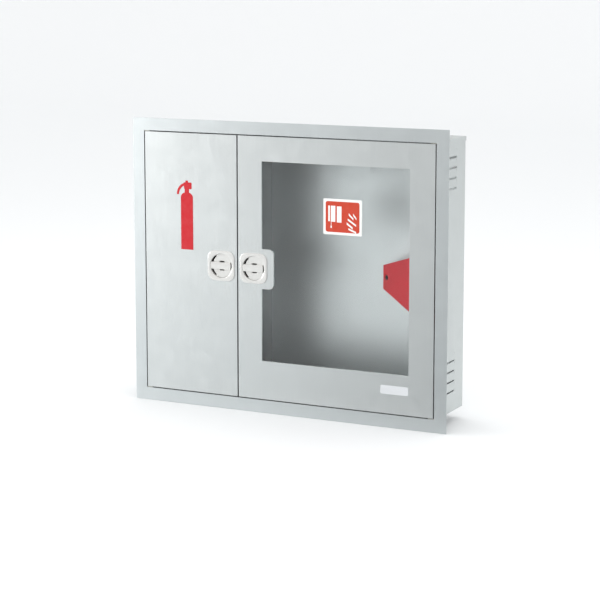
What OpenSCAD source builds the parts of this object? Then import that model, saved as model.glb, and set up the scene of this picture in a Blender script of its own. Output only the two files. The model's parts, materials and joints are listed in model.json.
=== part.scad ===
// Recessed two-compartment fire cabinet in folded stainless sheet.
// Left compartment for a portable extinguisher, right compartment for a hose reel
// behind a glazed door. Millimetres. +X right, -Y out of the front, +Z up.
// The origin is the centre of the back panel's outer face.

/* [Cabinet] */
// width of the box that goes into the wall
box_w = 900; // [800:10:1100]
// height of the box
box_h = 750; // [640:10:900]
// depth from the back panel's outer face to the front face
box_d = 200; // [180:5:260]
// how far the front flange laps over the wall all round
flange_over = 33; // [20:1:50]
// sheet thickness of the box and its front frame
wall_t = 1.5; // [1.2:0.1:2]
// how deep the front frame's collar runs into the box
collar_d = 25; // [24:1:32]
// height of the top panel's folded lip over each side wall
lip_h = 12; // [8:1:20]
// where the two doors meet, measured from the middle
split_x = -148; // [-180:1:-125]

/* [Wall fixings] */
// hole spacing across
fix_x = 760; // [600:10:780]
// hole spacing up
fix_z = 600; // [480:10:620]
// hole radius
fix_r = 4.5; // [3.5:0.5:6.5]

/* [Louvres] */
// slots in each group, one group high and one low on each side wall
louvre_n = 4; // [1:1:4]
// distance from one slot to the next
louvre_pitch = 28; // [26:1:32]
// slot length along the depth
louvre_len = 84; // [50:2:90]
// slot height
louvre_slot = 6.5; // [3:0.5:7]
// middle of the highest slot below the top of the box
louvre_top = 50; // [48:1:70]
// middle of the lowest slot above the bottom of the box
louvre_bottom = 58; // [40:1:80]
// how far each hood stands out of the wall
louvre_out = 4; // [3:0.5:5]

/* [Doors] */
// gap between a door and the frame
door_gap = 3; // [2.9:0.1:4]
// gap between the two doors
meet_gap = 4; // [3:0.5:6]
// depth of the folded door pans
door_d = 20; // [18:1:22]
// door sheet thickness
door_t = 1.5; // [1.2:0.1:1.8]
// width of the lip folded in round the back of each door
door_lip = 14; // [10:1:16]
// radius of the hinge pins
pin_r = 3; // [2:0.5:3]

/* [Window] */
// window edge to the right door's free edge
win_left = 74; // [60:1:90]
// window edge to the right door's hinge edge
win_right = 72; // [66:1:100]
// window edge to the door's top edge
win_top = 69; // [60:1:100]
// window edge to the door's bottom edge
win_bottom = 109; // [85:1:140]
// how far the latch tab stands into the window
tab_out = 37; // [34:1:46]
// height of the latch tab
tab_h = 112; // [104:1:130]
// corner radius of the latch tab
tab_r = 15; // [6:1:20]
// pane thickness
glass_t = 4; // [3:0.5:6]
// how far the pane laps behind the door sheet
glass_lap = 12; // [11:1:14]

/* [Latches] */
// side of the square latch bezel
bezel_w = 85; // [80:1:90]
// corner radius of the bezel
bezel_r = 22; // [10:1:30]
// how far the bezel stands in front of the door
bezel_t = 2.5; // [1.5:0.5:4]
// outer radius of the latch cup
cup_r = 36; // [32:1:37]
// depth of the latch cup behind the door's face
cup_d = 14; // [12:0.5:16]
// width of the grip bar
grip_w = 22; // [16:1:26]
// left latch axis to the left door's free edge
latch_left_in = 50; // [48:1:70]
// right latch axis to the right door's free edge
latch_right_in = 48; // [48:1:52]

/* [Hose reel arm] */
// angle of the arm behind the plane of the doors when stowed
arm_angle = 30; // [20:1:34]
// length of the arm from its hinge pin
arm_len = 238; // [200:2:240]
// plate thickness of the arm
arm_t = 5; // [4:0.5:6]
// height of the arm's narrow end
arm_tip_h = 67; // [60:1:90]
// height of the arm at its hinge
arm_root_h = 229; // [180:1:260]
// height of the middle of the arm's hinge, above or below the middle of the box
arm_z = -34; // [-60:1:40]
// radius of the reel axle hole
axle_r = 8; // [6:0.5:10]

/* [Pipe entry] */
// bore radius of the supply pipe's grommet
pipe_r = 17; // [13:0.5:22]
// distance of the entry from the middle, to the right
pipe_x = 330; // [200:5:360]
// distance of the entry in front of the back panel's outer face
pipe_y = 60; // [50:1:80]

/* [Signs] */
// height of the extinguisher sign on the left door
picto_h = 196; // [120:2:240]
// extinguisher sign axis to the left door's hinge edge
picto_x = 135; // [100:1:140]
// extinguisher sign's foot above the middle of the box
picto_z = 39; // [0:1:80]
// width of the hose reel sign on the glass
sign_w = 115; // [80:1:150]
// hose reel sign's middle to the window's left edge
sign_x = 245; // [150:1:300]
// hose reel sign's middle to the window's top edge
sign_z = 141; // [90:1:200]

/* [Hidden] */
$fn = 96;
eps = 0.01;
// clearances
run = 0.05;          // radial play of a pin in its bore
float = 0.3;         // least gap between moving faces
sweep_clear = 0.5;   // what the door corner keeps clear of the frame as it turns
// box
bw = box_w / 2;
bh = box_h / 2;
yf = -box_d;                       // plane of the front face
open_w = box_w - 4 * wall_t;       // clear opening inside the collar
open_h = box_h - 4 * wall_t;
in_h = bh - wall_t;                // underside of the top panel
lip_gap = 1.2;                     // lip to the side wall, which lets the wall slide in
lip_back = 0.5;                    // lip behind the flange
// doors
left_x0 = -open_w / 2 + door_gap;
left_x1 = split_x - meet_gap / 2;
right_x0 = split_x + meet_gap / 2;
right_x1 = open_w / 2 - door_gap;
door_h = open_h - 2 * door_gap;
door_y = yf + door_d;              // back of the door pans
pivot_in = min(6, (door_gap - sweep_clear) / (sqrt(2) - 1));
pivot_y = yf + pivot_in;
pivot_x = right_x1 - pivot_in;
lug_t = door_gap - 1;              // hinge lug in the gap above and below a door
lug_w = 18;
lug_d = door_d + 1;
bush_h = 12;
bush_w = 14;
bush_play = 0.5;                   // hole in the door's return round the pin
pin_short = 2;                     // pin's nose to the bush's inner end
// mullion behind the meeting edges
mull_w = 44;
mull_t = 2;
mull_leg = 7;                      // half the clear width between its legs
mull_d = 28;
mull_y = door_y + 2;               // front of the mullion
seal_w = 10;
seal_x = 15;                       // middle of each seal strip from the split
// window
win_x0 = right_x0 + win_left;
win_x1 = right_x1 - win_right;
win_z1 = door_h / 2 - win_top;
win_z0 = -door_h / 2 + win_bottom;
gasket_t = 3;
glass_y = yf + door_t + gasket_t;  // front of the pane
keep_w = 20;                       // glazing bar width
keep_t = 3;
keep_lap = 8;                      // how far a bar reaches over the pane
keep_y = glass_y + glass_t;
notch_h = 47;                      // half height of the pane's notch round the latch
notch_in = 13;                     // tab edge to notch edge
stud_r = 2;
nut_t = 4;
nut_r = 4;
spacer_r = 4;
stud_past = 2;                     // stud's end past its nut
stud_l = keep_y + keep_t + nut_t + stud_past - (yf + door_t);
bar_z = notch_h + 9;               // where the bars beside the latch start
// latches
latch_lx = left_x1 - latch_left_in;
latch_rx = right_x0 + latch_right_in;
cup_wall = 2;
floor_t = 2.5;
boss_r = 9;
boss_t = 2.5;
rotor_t = 2.5;
spindle_r = 5;
spindle_end_r = 4;
ring_w = 8;
ring_t = 3;
cam_y = mull_y + mull_t + 0.5;
cam_t = 3;
cam_r = 10;
cam_stop = 12;                     // cam tip to the split when locked
cam_nut_t = 5;
cam_nut_r = 8;
// reel arm
bracket_t = 4;
barrel_r = 9;
arm_pin_r = 5;
arm_px = bw - wall_t - bracket_t - 0.5 - barrel_r;
arm_py = yf + 40;                  // arm pin's axis behind the front face
lug2_t = 5;
lug2_w = 24;
arm_lo = arm_z - arm_root_h / 2;   // lower end of the barrel
arm_hi = arm_z + arm_root_h / 2;
hole_in = 14;                      // axle hole to the arm's narrow end
tip_rise = 11;                     // how far the narrow end sits above the hinge's middle
axle_boss_r = 13.5;
axle_boss_l = 16;
clip_t = 1.2;
clip_r = 8;
pin_head_r = 7.5;
pin_head_t = 3;
pin_tail = 4;                      // pin's end below the bracket
bracket_h = arm_root_h + 1 + 2 * lug2_t;
bracket_past = 12;                 // bracket's plate behind its lugs
arm_ease = 4;                      // barrel's end to the plate's edge
grommet_lip = 3;
grommet_r = pipe_r + 4;
// signs
film = 0.4;
print_t = 0.2;
sign_h = sign_w * 98 / 115;
sign_cx = win_x0 + sign_x;
sign_cz = win_z1 - sign_z;
badge_w = 82;
badge_h = 24;
badge_z = -303;

// ---- helpers ----

// a flat shape drawn in X and Z, from depth y0 to depth y1
module slab(y0, y1) {
  translate([0, y1, 0]) rotate([90, 0, 0]) linear_extrude(y1 - y0) children();
}

// a rectangle from corner to corner
module area(x0, x1, z0, z1) {
  translate([x0, z0]) square([x1 - x0, z1 - z0]);
}

module ring(w, h, wi, hi) {
  difference() {
    square([w, h], center = true);
    square([wi, hi], center = true);
  }
}

// a rectangle with round corners, about its middle
module round_rect(w, h, r) {
  square([w - 2 * r, h], center = true);
  square([w, h - 2 * r], center = true);
  for (sx = [-1, 1], sz = [-1, 1])
    translate([sx * (w / 2 - r), sz * (h / 2 - r)]) circle(r);
}

// a slanting stroke from a to b with upright ends, w high
module stroke(a, b, w) {
  polygon([[a[0], a[1] - w / 2], [b[0], b[1] - w / 2], [b[0], b[1] + w / 2],
    [a[0], a[1] + w / 2]]);
}

// ---- box ----

module back_panel() {
  color([0.70, 0.72, 0.72])
  slab(-wall_t, 0) difference() {
    square([box_w, box_h], center = true);
    for (sx = [-1, 1], sz = [-1, 1])
      translate([sx * fix_x / 2, sz * fix_z / 2]) circle(fix_r);
  }
}

hood_h = louvre_pitch - louvre_slot - 3;
relief_w = 2.5;                    // cut at a hood's rear end, where the punch leaves the sheet
louvre_y0 = yf + 50;
// middle heights of the slots
louvre_zs = [for (i = [0:louvre_n - 1])
  each [bh - louvre_top - i * louvre_pitch, -bh + louvre_bottom + i * louvre_pitch]];

// the outline of one louvre hood in X and Z, standing on the slot's upper edge
module hood(x, z, out, h) {
  polygon([[x - wall_t, z], [x + out, z], [x + out, z + wall_t],
    [x, z + h], [x - wall_t, z + h]]);
}

module side_wall() {
  difference() {
    union() {
      translate([bw - wall_t, yf + wall_t, -in_h])
        cube([wall_t, box_d - 2 * wall_t, 2 * in_h]);
      for (z = louvre_zs)
        slab(louvre_y0, louvre_y0 + louvre_len)
          hood(bw, z + louvre_slot / 2, louvre_out, hood_h);
    }
    for (z = louvre_zs)
      slab(louvre_y0 + wall_t, louvre_y0 + louvre_len - wall_t) {
        translate([-eps, 0]) hood(bw - wall_t, z + louvre_slot / 2 - eps,
          louvre_out, hood_h - wall_t);
        area(bw - wall_t - 1, bw + 1, z - louvre_slot / 2, z + louvre_slot / 2 + eps);
      }
    for (z = louvre_zs)
      translate([bw - wall_t - 1, louvre_y0 + louvre_len, z - louvre_slot / 2])
        cube([wall_t + 2, relief_w, louvre_slot + hood_h]);
  }
}

module right_wall() { color([0.74, 0.76, 0.76]) side_wall(); }
module left_wall() { color([0.74, 0.76, 0.76]) mirror([1, 0, 0]) side_wall(); }

module top_panel() {
  color([0.78, 0.80, 0.79]) {
    translate([-bw, yf + wall_t, in_h]) cube([box_w, box_d - 2 * wall_t, wall_t]);
    for (s = [-1, 1])
      translate([0, yf + wall_t + lip_back, 0]) {
        w = lip_gap + wall_t;
        translate([s * (bw + w / 2 - eps), (box_d - 2 * wall_t - lip_back) / 2, bh - wall_t / 2])
          cube([w + 2 * eps, box_d - 2 * wall_t - lip_back, wall_t], center = true);
        translate([s * (bw + lip_gap + wall_t / 2), (box_d - 2 * wall_t - lip_back) / 2, bh - lip_h / 2])
          cube([wall_t, box_d - 2 * wall_t - lip_back, lip_h], center = true);
      }
  }
}

module bottom_panel() {
  color([0.72, 0.74, 0.74])
  difference() {
    translate([-bw, yf + wall_t, -bh]) cube([box_w, box_d - 2 * wall_t, wall_t]);
    translate([pipe_x, -pipe_y, -bh - 1]) cylinder(r = grommet_r, h = wall_t + 2);
  }
}

module partition() {
  px = split_x + mull_leg - wall_t;
  color([0.62, 0.64, 0.64]) {
    translate([px, yf + collar_d, -in_h])
      cube([wall_t, box_d - collar_d - wall_t, 2 * in_h]);
    translate([px - 20, -2 * wall_t, -in_h]) cube([20 + eps, wall_t, 2 * in_h]);
  }
}

module mullion() {
  color([0.66, 0.68, 0.68]) {
    translate([split_x - mull_w / 2, mull_y, -open_h / 2]) cube([mull_w, mull_t, open_h]);
    for (s = [-1, 1])
      translate([split_x + s * (mull_leg + wall_t / 2) - wall_t / 2,
                 mull_y + mull_t - eps, -open_h / 2])
        cube([wall_t, mull_d - mull_t, open_h]);
  }
}

module front_flange() {
  color([0.76, 0.78, 0.79])
  slab(yf, yf + wall_t)
    ring(box_w + 2 * flange_over, box_h + 2 * flange_over, open_w, open_h);
}

module frame_collar() {
  color([0.72, 0.74, 0.75])
  slab(yf + wall_t, yf + collar_d)
    ring(open_w + 2 * wall_t, open_h + 2 * wall_t, open_w, open_h);
}

module door_seals() {
  color([0.12, 0.12, 0.12])
  for (s = [-1, 1])
    translate([split_x + s * seal_x - seal_w / 2, door_y + float, -open_h / 2 + seal_w])
      cube([seal_w, mull_y - door_y - float, open_h - 2 * seal_w]);
}

// ---- hinges ----

module hinge_lugs() {
  for (s = [-1, 1])
    translate([0, 0, s * (open_h / 2 - lug_t / 2)]) difference() {
      translate([open_w / 2 - lug_w, yf + wall_t, -lug_t / 2])
        cube([lug_w, lug_d, lug_t]);
      translate([pivot_x, pivot_y, -lug_t]) cylinder(r = pin_r, h = 2 * lug_t);
    }
}

module hinge_pins() {
  l = open_h / 2 - door_h / 2 + door_t + bush_h - pin_short;
  for (s = [-1, 1])
    translate([pivot_x, pivot_y, s * (open_h / 2 - l / 2) - l / 2])
      cylinder(r = pin_r, h = l);
}

module hinge_bushes() {
  bx = right_x1 - door_t - bush_w;
  for (s = [-1, 1])
    translate([0, 0, s * (door_h / 2 - door_t - bush_h / 2)]) difference() {
      translate([bx, yf + door_t, -bush_h / 2]) cube([bush_w, bush_w, bush_h]);
      translate([pivot_x, pivot_y, -bush_h]) cylinder(r = pin_r + run, h = 2 * bush_h);
    }
}

module right_hinge_lugs() { color([0.55, 0.56, 0.57]) hinge_lugs(); }
module left_hinge_lugs() { color([0.55, 0.56, 0.57]) mirror([1, 0, 0]) hinge_lugs(); }
module right_hinge_pins() { color([0.80, 0.80, 0.80]) hinge_pins(); }
module left_hinge_pins() { color([0.80, 0.80, 0.80]) mirror([1, 0, 0]) hinge_pins(); }
module right_hinge_bushes() { color([0.20, 0.20, 0.21]) hinge_bushes(); }
module left_hinge_bushes() { color([0.20, 0.20, 0.21]) mirror([1, 0, 0]) hinge_bushes(); }

// ---- doors ----

// a folded tray: face, four returns and a lip round the back
module door_tray(x0, x1) {
  z = door_h / 2;
  difference() {
    slab(yf, door_y) area(x0, x1, -z, z);
    slab(yf + door_t, door_y - door_t)
      area(x0 + door_t, x1 - door_t, -z + door_t, z - door_t);
    slab(yf + door_d / 2, door_y + 1)
      area(x0 + door_lip, x1 - door_lip, -z + door_lip, z - door_lip);
  }
}

module pivot_holes(x) {
  for (s = [-1, 1])
    translate([x, pivot_y, s * (door_h / 2 - door_t / 2) - door_t])
      cylinder(r = pin_r + bush_play, h = 2 * door_t);
}

module left_door_pan() {
  color([0.86, 0.88, 0.87])
  difference() {
    door_tray(left_x0, left_x1);
    pivot_holes(-pivot_x);
    slab(yf - 1, yf + door_t + 1) translate([latch_lx, 0]) circle(cup_r + float);
  }
}

// a channel pressed from sheet, open towards the door's skin
module channel(x0, x1, z0, z1, d) {
  difference() {
    slab(yf + door_t, yf + door_t + d) area(x0, x1, z0, z1);
    slab(yf + door_t - 1, yf + door_t + d - wall_t)
      area(x0 + wall_t, x1 - wall_t, z0 + wall_t, z1 - wall_t);
  }
}

stiff_d = 12;
stiff_w = 40;                      // width of the channels and their distance from the pan's edges
stiff_at = 0.28;                   // how far across the left door its channel starts
stiff_h = 35;                      // height of the right door's channel

module left_door_stiffener() {
  x = left_x0 + stiff_at * (left_x1 - left_x0);
  color([0.70, 0.72, 0.72])
  channel(x, x + stiff_w, -door_h / 2 + stiff_w, door_h / 2 - stiff_w, stiff_d);
}

// the window: the opening grown by g all round, less the latch tab
module window(g) {
  difference() {
    area(win_x0 - g, win_x1 + g, win_z0 - g, win_z1 + g);
    translate([win_x0 + tab_out - g - tab_h / 2, 0])
      round_rect(tab_h, tab_h - 2 * g, tab_r - g);
  }
}

module right_door_pan() {
  color([0.82, 0.84, 0.84])
  difference() {
    union() {
      door_tray(right_x0, right_x1);
      slab(yf, glass_y) window(door_t);
    }
    slab(yf - 1, glass_y + 1) window(0);
    pivot_holes(pivot_x);
    slab(yf - 1, yf + door_t + 1) translate([latch_rx, 0]) circle(cup_r + float);
  }
}

module right_door_stiffener() {
  z = win_z0 - glass_lap - keep_w - stiff_w;
  color([0.70, 0.72, 0.72])
  channel(right_x0 + stiff_w, right_x1 - stiff_w, z, z + stiff_h, stiff_d);
}

// outline of the pane, notched round the latch
module pane() {
  difference() {
    area(win_x0 - glass_lap, win_x1 + glass_lap, win_z0 - glass_lap, win_z1 + glass_lap);
    area(win_x0 - glass_lap - 1, win_x0 + tab_out - notch_in, -notch_h, notch_h);
  }
}

module glass_pane() {
  color([0.80, 0.88, 0.88, 0.3]) slab(glass_y, keep_y) pane();
}

module glass_gasket() {
  color([0.10, 0.10, 0.10])
  slab(yf + door_t, glass_y) difference() {
    pane();
    window(door_t);
  }
}

bar_x0 = win_x0 - glass_lap - (keep_w - keep_lap);
bar_x1 = win_x1 + glass_lap + (keep_w - keep_lap);
bar_z0 = win_z0 - glass_lap - (keep_w - keep_lap);
bar_z1 = win_z1 + glass_lap + (keep_w - keep_lap);

module glazing_bars() {
  color([0.60, 0.61, 0.62])
  slab(keep_y, keep_y + keep_t) difference() {
    union() {
      area(bar_x0, bar_x1, bar_z1 - keep_w, bar_z1);
      area(bar_x0, bar_x1, bar_z0, bar_z0 + keep_w);
      area(bar_x1 - keep_w, bar_x1, bar_z0 + keep_w + 1, bar_z1 - keep_w - 1);
      area(bar_x0, bar_x0 + keep_w, bar_z, bar_z1 - keep_w - 1);
      area(bar_x0, bar_x0 + keep_w, bar_z0 + keep_w + 1, -bar_z);
    }
    stud_places() circle(stud_r + run);
  }
}

stud_in = 6;                       // stud to a bar's outer edge
stud_end = 60;                     // stud to the far end of a left bar
stud_near = 40;                    // stud to a left bar's end beside the latch

module stud_places() {
  w = bar_x1 - bar_x0;
  for (f = [0.1, 0.37, 0.63, 0.9], z = [bar_z0 + stud_in, bar_z1 - stud_in])
    translate([bar_x0 + f * w, z]) children();
  for (f = [0.2, 0.5, 0.8])
    translate([bar_x1 - stud_in, bar_z0 + f * (bar_z1 - bar_z0)]) children();
  for (z = [bar_z0 + stud_end, -bar_z - stud_near, bar_z + stud_near, bar_z1 - stud_end])
    translate([bar_x0 + stud_in, z]) children();
}

module glazing_studs() {
  color([0.75, 0.75, 0.75])
  slab(yf + door_t, yf + door_t + stud_l) stud_places() circle(stud_r);
}

module glazing_spacers() {
  color([0.45, 0.46, 0.47])
  slab(yf + door_t, keep_y) stud_places() difference() {
    circle(spacer_r);
    circle(stud_r + run);
  }
}

module glazing_nuts() {
  color([0.72, 0.72, 0.70])
  slab(keep_y + keep_t, keep_y + keep_t + nut_t) stud_places() difference() {
    circle(nut_r, $fn = 6);
    circle(stud_r + run);
  }
}

// ---- signs ----

module extinguisher_shape() {
  k = 19.5;
  difference() {
    union() {
      translate([0, 81]) round_rect(2 * k, 162, 15);
      area(-k, k, 0, 40);
    }
    translate([0, -20]) square([100, 40], center = true);
  }
  area(-7, 7, 140, 174);
  translate([3.3, 181.5]) round_rect(24.6, 19, 3);
  area(-4, 4, 188, 196);
  difference() {
    translate([0, 158]) circle(32);
    translate([4, 154]) circle(30);
    area(-8, 40, 100, 200);
    area(-40, 40, 100, 156);
  }
  area(-10, -4, 184, 190);
}

module extinguisher_sign() {
  color([0.85, 0.13, 0.17])
  slab(yf - film, yf)
    translate([left_x0 + picto_x, picto_z]) scale(picto_h / 196) extinguisher_shape();
}

module reel_sign_back() {
  color([0.96, 0.96, 0.95])
  slab(glass_y - film, glass_y) translate([sign_cx, sign_cz]) round_rect(sign_w, sign_h, 3);
}

// strokes measured from the sign's upper left corner
module reel_glyph() {
  area(14.5, 20, -62, -19);
  area(22.5, 36, -63, -19);
  area(40.5, 54.5, -64, -20);
  area(22.8, 24.4, -79, -62);
  area(21.6, 25.6, -80, -74);
  stroke([76, -40], [90, -53], 6);
  stroke([89, -40], [99, -52], 6);
  stroke([73, -54], [98, -70], 5.5);
  stroke([70, -65], [88, -78], 6);
  stroke([75, -80], [98, -89], 5);
}

module reel_sign_print() {
  color([0.80, 0.22, 0.14])
  slab(glass_y - film - print_t, glass_y - film) translate([sign_cx, sign_cz]) difference() {
    round_rect(sign_w - 14, sign_h - 14, 6);
    translate([-sign_w / 2, sign_h / 2]) scale(sign_w / 115) reel_glyph();
  }
}

module blank_badge() {
  color([0.62, 0.65, 0.68])
  slab(yf - film, yf)
    translate([win_x1 - badge_w / 2, badge_z]) round_rect(badge_w, badge_h, 4);
}

// ---- latches ----

module latch_bezel(x) {
  translate([x, 0, 0]) difference() {
    union() {
      slab(yf - bezel_t / 2, yf) round_rect(bezel_w, bezel_w, bezel_r);
      slab(yf - bezel_t, yf - bezel_t / 2)
        round_rect(bezel_w - 2, bezel_w - 2, bezel_r - 1);
      slab(yf - eps, yf + cup_d) circle(cup_r);
      slab(yf, yf + cup_d + boss_t) circle(boss_r);
    }
    slab(yf - bezel_t - 1, yf + cup_d - floor_t) circle(cup_r - cup_wall);
    slab(yf, yf + cup_d + boss_t + 1) circle(spindle_r + run);
  }
}

module latch_ring(x) {
  translate([x, 0, 0]) slab(yf + door_t, yf + door_t + ring_t) difference() {
    circle(cup_r + ring_w);
    circle(cup_r + run);
  }
}

// grip bar, disc and spindle in one casting
module latch_rotor(x) {
  y = yf + cup_d - floor_t - float;    // back of the disc
  r = cup_r - cup_wall - 0.6;
  translate([x, 0, 0]) {
    slab(y - rotor_t, y) circle(r);
    slab(yf - bezel_t + 0.5, y - rotor_t + eps) intersection() {
      circle(r);
      square([2 * r, grip_w], center = true);
    }
    slab(y - eps, cam_y) circle(spindle_r);
    slab(cam_y - eps, cam_y + cam_t + cam_nut_t + 1) circle(spindle_end_r);
  }
}

module latch_cam(x, reach) {
  translate([x, 0, 0]) slab(cam_y, cam_y + cam_t) difference() {
    union() {
      circle(cam_r);
      area(-cam_r, cam_r, -reach + cam_r, 0);
      translate([0, -reach + cam_r]) circle(cam_r);
    }
    circle(spindle_end_r + run);
  }
}

module latch_nut(x) {
  translate([x, 0, 0]) slab(cam_y + cam_t, cam_y + cam_t + cam_nut_t) difference() {
    circle(cam_nut_r, $fn = 6);
    circle(spindle_end_r + run);
  }
}

module left_latch_bezel() { color([0.90, 0.90, 0.88]) latch_bezel(latch_lx); }
module left_latch_ring() { color([0.40, 0.40, 0.40]) latch_ring(latch_lx); }
module left_latch_rotor() { color([0.93, 0.93, 0.90]) latch_rotor(latch_lx); }
module left_latch_cam() {
  color([0.66, 0.66, 0.64]) latch_cam(latch_lx, split_x - cam_stop - latch_lx);
}
module left_latch_nut() { color([0.60, 0.60, 0.58]) latch_nut(latch_lx); }
module right_latch_bezel() { color([0.90, 0.90, 0.88]) latch_bezel(latch_rx); }
module right_latch_ring() { color([0.40, 0.40, 0.40]) latch_ring(latch_rx); }
module right_latch_rotor() { color([0.93, 0.93, 0.90]) latch_rotor(latch_rx); }
module right_latch_cam() {
  color([0.66, 0.66, 0.64]) latch_cam(latch_rx, latch_rx - split_x - cam_stop);
}
module right_latch_nut() { color([0.60, 0.60, 0.58]) latch_nut(latch_rx); }

// ---- hose reel arm ----

module arm_bracket() {
  h = bracket_h;
  color([0.62, 0.16, 0.15])
  difference() {
    union() {
      translate([bw - wall_t - bracket_t, arm_py - lug2_w / 2, arm_z - h / 2])
        cube([bracket_t, lug2_w + bracket_past, h]);
      for (s = [-1, 1])
        translate([arm_px - barrel_r, arm_py - lug2_w / 2,
                   arm_z + s * (h / 2 - lug2_t / 2) - lug2_t / 2])
          cube([bw - wall_t - arm_px + barrel_r - 1, lug2_w, lug2_t]);
    }
    translate([arm_px, arm_py, arm_z - h]) cylinder(r = arm_pin_r + run, h = 2 * h);
  }
}

module arm_pin() {
  h = bracket_h;
  color([0.78, 0.78, 0.78])
  translate([arm_px, arm_py, arm_z]) {
    translate([0, 0, -h / 2 - pin_tail]) cylinder(r = arm_pin_r, h = h + pin_tail);
    translate([0, 0, h / 2]) cylinder(r = pin_head_r, h = pin_head_t);
  }
}

module arm_pin_clip() {
  color([0.30, 0.30, 0.30])
  translate([arm_px, arm_py, arm_z - bracket_h / 2 - clip_t]) difference() {
    cylinder(r = clip_r, h = clip_t);
    translate([0, 0, -1]) cylinder(r = arm_pin_r, h = clip_t + 2);
  }
}

// places a flat shape on the arm: first coordinate out from the pin, second up
module on_arm(t0, t1) {
  translate([arm_px, arm_py, 0]) rotate([0, 0, -arm_angle]) mirror([1, 0, 0])
    translate([0, t1, 0]) rotate([90, 0, 0]) linear_extrude(t1 - t0) children();
}

module reel_arm() {
  tip_z = arm_z + tip_rise;
  color([0.80, 0.20, 0.20])
  difference() {
    union() {
      on_arm(-arm_t / 2, arm_t / 2) difference() {
        polygon([[0, arm_lo + arm_ease], [barrel_r + arm_ease, arm_lo + arm_ease],
          [arm_len, tip_z - arm_tip_h / 2], [arm_len, tip_z + arm_tip_h / 2],
          [barrel_r + arm_ease, arm_hi - arm_ease], [0, arm_hi - arm_ease]]);
        translate([arm_len - hole_in, tip_z]) circle(axle_r);
      }
      translate([arm_px, arm_py, arm_lo]) cylinder(r = barrel_r, h = arm_root_h);
    }
    translate([arm_px, arm_py, arm_lo - 1])
      cylinder(r = arm_pin_r + run, h = arm_root_h + 2);
  }
}

module axle_boss() {
  color([0.70, 0.17, 0.17])
  on_arm(arm_t / 2, arm_t / 2 + axle_boss_l)
    translate([arm_len - hole_in, arm_z + tip_rise]) difference() {
      circle(axle_boss_r);
      circle(axle_r);
    }
}

// ---- pipe entry ----

module pipe_grommet() {
  color([0.13, 0.13, 0.13])
  translate([pipe_x, -pipe_y, -bh - grommet_lip]) rotate_extrude()
    polygon([[pipe_r, 0], [grommet_r + 4, 0], [grommet_r + 4, grommet_lip],
      [grommet_r, grommet_lip], [grommet_r, grommet_lip + wall_t],
      [grommet_r + 4, grommet_lip + wall_t],
      [grommet_r + 4, 2 * grommet_lip + wall_t], [pipe_r, 2 * grommet_lip + wall_t]]);
}

back_panel();
left_wall();
right_wall();
top_panel();
bottom_panel();
partition();
mullion();
front_flange();
frame_collar();
door_seals();
left_hinge_lugs();
left_hinge_pins();
right_hinge_lugs();
right_hinge_pins();
arm_bracket();
arm_pin();
arm_pin_clip();
pipe_grommet();
left_door_pan();
left_door_stiffener();
left_hinge_bushes();
extinguisher_sign();
left_latch_bezel();
left_latch_ring();
left_latch_rotor();
left_latch_cam();
left_latch_nut();
right_door_pan();
right_door_stiffener();
right_hinge_bushes();
glass_pane();
glass_gasket();
glazing_bars();
glazing_studs();
glazing_spacers();
glazing_nuts();
reel_sign_back();
reel_sign_print();
blank_badge();
right_latch_bezel();
right_latch_ring();
right_latch_rotor();
right_latch_cam();
right_latch_nut();
reel_arm();
axle_boss();
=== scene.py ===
"""Recessed fire cabinet: the looks of a two-compartment cabinet in folded stainless sheet.

The CAD frame gives every place and size. Sheets keep their CAD shape with softened folds,
and latches, fasteners, seals and welds are surfaces worked out from two parameters.
"""

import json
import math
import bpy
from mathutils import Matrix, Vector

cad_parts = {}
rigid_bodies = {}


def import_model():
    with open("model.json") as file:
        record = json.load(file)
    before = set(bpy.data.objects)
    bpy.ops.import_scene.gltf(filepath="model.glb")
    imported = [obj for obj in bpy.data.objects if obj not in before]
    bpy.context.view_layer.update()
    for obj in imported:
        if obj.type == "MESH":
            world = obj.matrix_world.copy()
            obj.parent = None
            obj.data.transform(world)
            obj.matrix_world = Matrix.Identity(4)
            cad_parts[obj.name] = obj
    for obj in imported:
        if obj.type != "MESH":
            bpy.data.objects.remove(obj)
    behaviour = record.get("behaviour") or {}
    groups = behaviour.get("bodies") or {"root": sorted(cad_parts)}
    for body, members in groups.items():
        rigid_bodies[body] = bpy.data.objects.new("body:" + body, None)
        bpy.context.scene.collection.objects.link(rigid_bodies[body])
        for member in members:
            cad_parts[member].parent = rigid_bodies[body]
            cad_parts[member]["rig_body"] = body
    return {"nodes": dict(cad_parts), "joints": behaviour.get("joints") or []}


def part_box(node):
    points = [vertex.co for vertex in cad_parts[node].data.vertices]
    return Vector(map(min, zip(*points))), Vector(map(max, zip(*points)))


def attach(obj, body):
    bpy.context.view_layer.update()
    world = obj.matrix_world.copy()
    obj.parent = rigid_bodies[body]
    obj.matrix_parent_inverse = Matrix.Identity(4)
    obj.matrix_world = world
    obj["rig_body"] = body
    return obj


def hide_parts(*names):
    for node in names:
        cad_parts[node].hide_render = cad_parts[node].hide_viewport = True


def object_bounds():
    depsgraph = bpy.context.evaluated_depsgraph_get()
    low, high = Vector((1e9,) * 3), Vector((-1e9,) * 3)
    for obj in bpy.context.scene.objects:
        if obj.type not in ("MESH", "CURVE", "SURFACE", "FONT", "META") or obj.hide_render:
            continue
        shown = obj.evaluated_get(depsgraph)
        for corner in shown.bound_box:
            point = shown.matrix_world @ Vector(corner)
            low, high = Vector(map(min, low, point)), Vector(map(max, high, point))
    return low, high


bl_info = {
    "name": "Recessed Fire Cabinet",
    "version": (1, 0, 0),
    "blender": (4, 5, 0),
    "location": "View3D > Sidebar > Fire Cabinet",
    "description": "Builds a recessed fire cabinet around its CAD frame",
    "category": "Object",
}

import bmesh
import bpy
import numpy as np
from bpy.props import FloatProperty, FloatVectorProperty, PointerProperty
from mathutils import Vector

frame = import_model()
CAD_BOX = [list(corner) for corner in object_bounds()]
MM = 0.001
TAU = 2 * math.pi

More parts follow.
